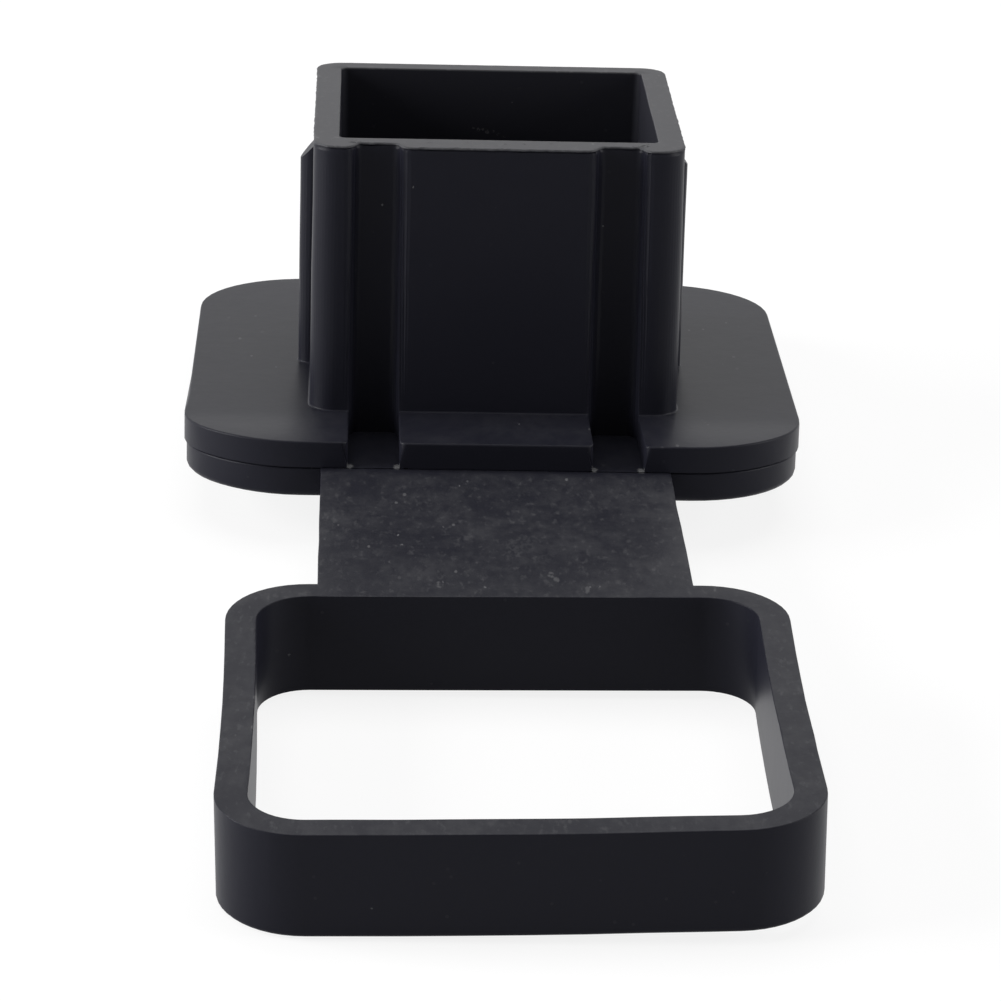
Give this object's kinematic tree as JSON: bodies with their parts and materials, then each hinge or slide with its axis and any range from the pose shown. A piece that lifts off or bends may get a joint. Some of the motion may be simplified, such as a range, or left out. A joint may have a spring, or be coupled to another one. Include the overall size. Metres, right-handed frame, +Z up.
{
  "type": "hitch receiver cover",
  "caption": "Moulded rubber cover for a square towing receiver tube: square cap with a hollow ribbed plug, and a flat strap leading to a rounded square retaining loop.",
  "frame": {"origin": "centre of the footprint, on the table that the loop and the back edge of the cap rest on", "axes": "+Z up, out of the open plug, which leans back by 4.7 degrees; the strap leads from the cap to the loop towards -Y; X runs across the strap"},
  "size_m": [0.08, 0.1864, 0.0476],
  "materials": {
    "black_rubber": "matte moulded, lightly dusted"
  },
  "bodies": {
    "root": {"hitch_cover": "black_rubber"}
  },
  "joints": []
}
